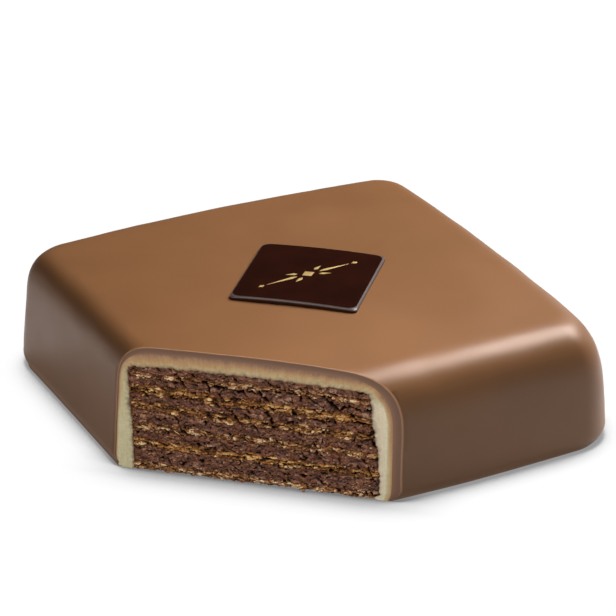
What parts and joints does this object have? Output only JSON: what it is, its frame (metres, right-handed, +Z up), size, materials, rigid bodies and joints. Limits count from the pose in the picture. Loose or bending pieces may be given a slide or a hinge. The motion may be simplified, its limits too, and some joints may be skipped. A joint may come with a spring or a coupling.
{
  "type": "square layered torte with one corner cut away",
  "caption": "Low square torte coated in milk chocolate, one corner cut off diagonally to show marzipan, wafer and cream layers, with a thin dark chocolate plaque on top.",
  "frame": {"origin": "on the base, under the middle of the square", "axes": "+Z up; the square's sides lie along X and Y; the cut takes off the corner at -X, -Y"},
  "size_m": [0.1197, 0.1197, 0.0373],
  "materials": {
    "milk_chocolate": "satin milk chocolate glaze",
    "marzipan": "dense pale almond paste",
    "wafer": "crumbly baked wafer",
    "chocolate_cream": "torn dark chocolate cream",
    "dark_chocolate": "moulded glossy dark chocolate"
  },
  "bodies": {
    "root": {"chocolate_coat": "milk_chocolate", "marzipan_jacket": "marzipan", "wafer_1": "wafer", "cream_1": "chocolate_cream", "wafer_2": "wafer", "cream_2": "chocolate_cream", "wafer_3": "wafer", "cream_3": "chocolate_cream", "wafer_4": "wafer", "cream_4": "chocolate_cream", "wafer_5": "wafer", "cream_5": "chocolate_cream", "wafer_6": "wafer", "cream_6": "chocolate_cream", "plaque": "dark_chocolate"}
  },
  "joints": []
}
